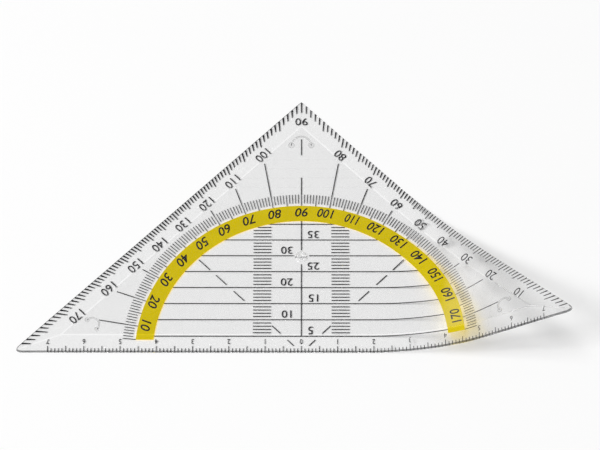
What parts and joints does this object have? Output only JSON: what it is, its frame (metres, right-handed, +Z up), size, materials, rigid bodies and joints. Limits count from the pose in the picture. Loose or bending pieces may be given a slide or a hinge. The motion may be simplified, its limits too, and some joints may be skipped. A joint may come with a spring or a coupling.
{
  "type": "flexible drafting set square",
  "caption": "Clear flexible right-angled drafting triangle with ruler and protractor scales, one corner curled up off the desk.",
  "frame": {"origin": "zero mark of the ruler, on the ruling edge at mid height of the edge", "axes": "+X along the ruling edge, to the corner that is raised; +Y from the edge to the right-angled corner; +Z up from the sheet's top face"},
  "size_m": [0.1516, 0.0796, 0.0244],
  "materials": {
    "clear_plastic": "clear gloss",
    "yellow_ink": "flat printed film",
    "black_ink": "flat printed film"
  },
  "bodies": {
    "sheet": {"arc_degree_ticks": "black_ink", "band_centre": "yellow_ink", "diagonal_dashes": "black_ink", "ladder_rungs": "black_ink", "leg_degree_ticks": "black_ink", "middle_line": "black_ink", "parallel_lines": "black_ink", "ray_lines": "black_ink", "ruler_ticks": "black_ink", "sheet_centre": "clear_plastic"},
    "right_1": {"right_corner_strip_1": "clear_plastic", "right_corner_strip_1_band": "yellow_ink", "right_corner_strip_1_print": "black_ink"},
    "right_2": {"right_corner_strip_2": "clear_plastic", "right_corner_strip_2_band": "yellow_ink", "right_corner_strip_2_print": "black_ink"},
    "right_3": {"right_corner_strip_3": "clear_plastic", "right_corner_strip_3_band": "yellow_ink", "right_corner_strip_3_print": "black_ink"},
    "right_4": {"right_corner_strip_4": "clear_plastic", "right_corner_strip_4_band": "yellow_ink", "right_corner_strip_4_print": "black_ink"},
    "right_tip": {"right_corner_tip": "clear_plastic", "right_corner_tip_print": "black_ink"},
    "left_1": {"left_corner_strip_1": "clear_plastic", "left_corner_strip_1_band": "yellow_ink", "left_corner_strip_1_print": "black_ink"},
    "left_2": {"left_corner_strip_2": "clear_plastic", "left_corner_strip_2_band": "yellow_ink", "left_corner_strip_2_print": "black_ink"},
    "left_3": {"left_corner_strip_3": "clear_plastic", "left_corner_strip_3_band": "yellow_ink", "left_corner_strip_3_print": "black_ink"},
    "left_4": {"left_corner_strip_4": "clear_plastic", "left_corner_strip_4_band": "yellow_ink", "left_corner_strip_4_print": "black_ink"},
    "left_tip": {"left_corner_tip": "clear_plastic", "left_corner_tip_print": "black_ink"},
    "top_1": {"top_corner_strip_1": "clear_plastic", "top_corner_strip_1_print": "black_ink"},
    "top_2": {"top_corner_strip_2": "clear_plastic", "top_corner_strip_2_print": "black_ink"},
    "top_tip": {"top_corner_tip": "clear_plastic", "top_corner_tip_print": "black_ink"}
  },
  "joints": [
    {"name": "right_bend_1", "type": "hinge", "parent": "sheet", "child": "right_1", "pos_m": [0.0209, 0, 0.0003], "axis": [-0.2079, -0.9781, 0], "range_deg": [-6.6, 13.4], "stiffness_Nm_per_rad": 0.015},
    {"name": "right_bend_2", "type": "hinge", "parent": "right_1", "child": "right_2", "pos_m": [0.02781, 0.00001, 0.00108], "axis": [-0.2079, -0.9781, 0], "range_deg": [-6.6, 13.4], "stiffness_Nm_per_rad": 0.015},
    {"name": "right_bend_3", "type": "hinge", "parent": "right_2", "child": "right_3", "pos_m": [0.03458, 0.00005, 0.00263], "axis": [-0.2079, -0.9781, 0], "range_deg": [-6.6, 13.4], "stiffness_Nm_per_rad": 0.015},
    {"name": "right_bend_4", "type": "hinge", "parent": "right_3", "child": "right_4", "pos_m": [0.04113, 0.00013, 0.00493], "axis": [-0.2079, -0.9781, 0], "range_deg": [-6.6, 13.4], "stiffness_Nm_per_rad": 0.015},
    {"name": "right_bend_5", "type": "hinge", "parent": "right_4", "child": "right_tip", "pos_m": [0.04738, 0.00028, 0.00795], "axis": [-0.2079, -0.9781, 0], "range_deg": [-6.6, 13.4], "stiffness_Nm_per_rad": 0.015},
    {"name": "left_bend_1", "type": "hinge", "parent": "sheet", "child": "left_1", "pos_m": [-0.0209, 0, 0.0003], "axis": [-0.2079, 0.9781, 0], "range_deg": [0, 20], "stiffness_Nm_per_rad": 0.015},
    {"name": "left_bend_2", "type": "hinge", "parent": "left_1", "child": "left_2", "pos_m": [-0.02785, 0, 0.0003], "axis": [-0.2079, 0.9781, 0], "range_deg": [0, 20], "stiffness_Nm_per_rad": 0.015},
    {"name": "left_bend_3", "type": "hinge", "parent": "left_2", "child": "left_3", "pos_m": [-0.03479, 0, 0.0003], "axis": [-0.2079, 0.9781, 0], "range_deg": [0, 20], "stiffness_Nm_per_rad": 0.015},
    {"name": "left_bend_4", "type": "hinge", "parent": "left_3", "child": "left_4", "pos_m": [-0.04174, 0, 0.0003], "axis": [-0.2079, 0.9781, 0], "range_deg": [0, 20], "stiffness_Nm_per_rad": 0.015},
    {"name": "left_bend_5", "type": "hinge", "parent": "left_4", "child": "left_tip", "pos_m": [-0.04868, 0, 0.0003], "axis": [-0.2079, 0.9781, 0], "range_deg": [0, 20], "stiffness_Nm_per_rad": 0.015},
    {"name": "top_bend_1", "type": "hinge", "parent": "sheet", "child": "top_1", "pos_m": [0, 0.05311, 0.0003], "axis": [1, 0, 0], "range_deg": [0, 20], "stiffness_Nm_per_rad": 0.006},
    {"name": "top_bend_2", "type": "hinge", "parent": "top_1", "child": "top_2", "pos_m": [0, 0.05613, 0.0003], "axis": [1, 0, 0], "range_deg": [0, 20], "stiffness_Nm_per_rad": 0.006},
    {"name": "top_bend_3", "type": "hinge", "parent": "top_2", "child": "top_tip", "pos_m": [0, 0.05916, 0.0003], "axis": [1, 0, 0], "range_deg": [0, 20], "stiffness_Nm_per_rad": 0.006}
  ],
  "couplings": [
    {"joint": "right_bend_2", "follows": "right_bend_1", "ratio": 1},
    {"joint": "right_bend_3", "follows": "right_bend_1", "ratio": 1},
    {"joint": "right_bend_4", "follows": "right_bend_1", "ratio": 1},
    {"joint": "right_bend_5", "follows": "right_bend_1", "ratio": 1},
    {"joint": "left_bend_2", "follows": "left_bend_1", "ratio": 1},
    {"joint": "left_bend_3", "follows": "left_bend_1", "ratio": 1},
    {"joint": "left_bend_4", "follows": "left_bend_1", "ratio": 1},
    {"joint": "left_bend_5", "follows": "left_bend_1", "ratio": 1},
    {"joint": "top_bend_2", "follows": "top_bend_1", "ratio": 1},
    {"joint": "top_bend_3", "follows": "top_bend_1", "ratio": 1}
  ]
}
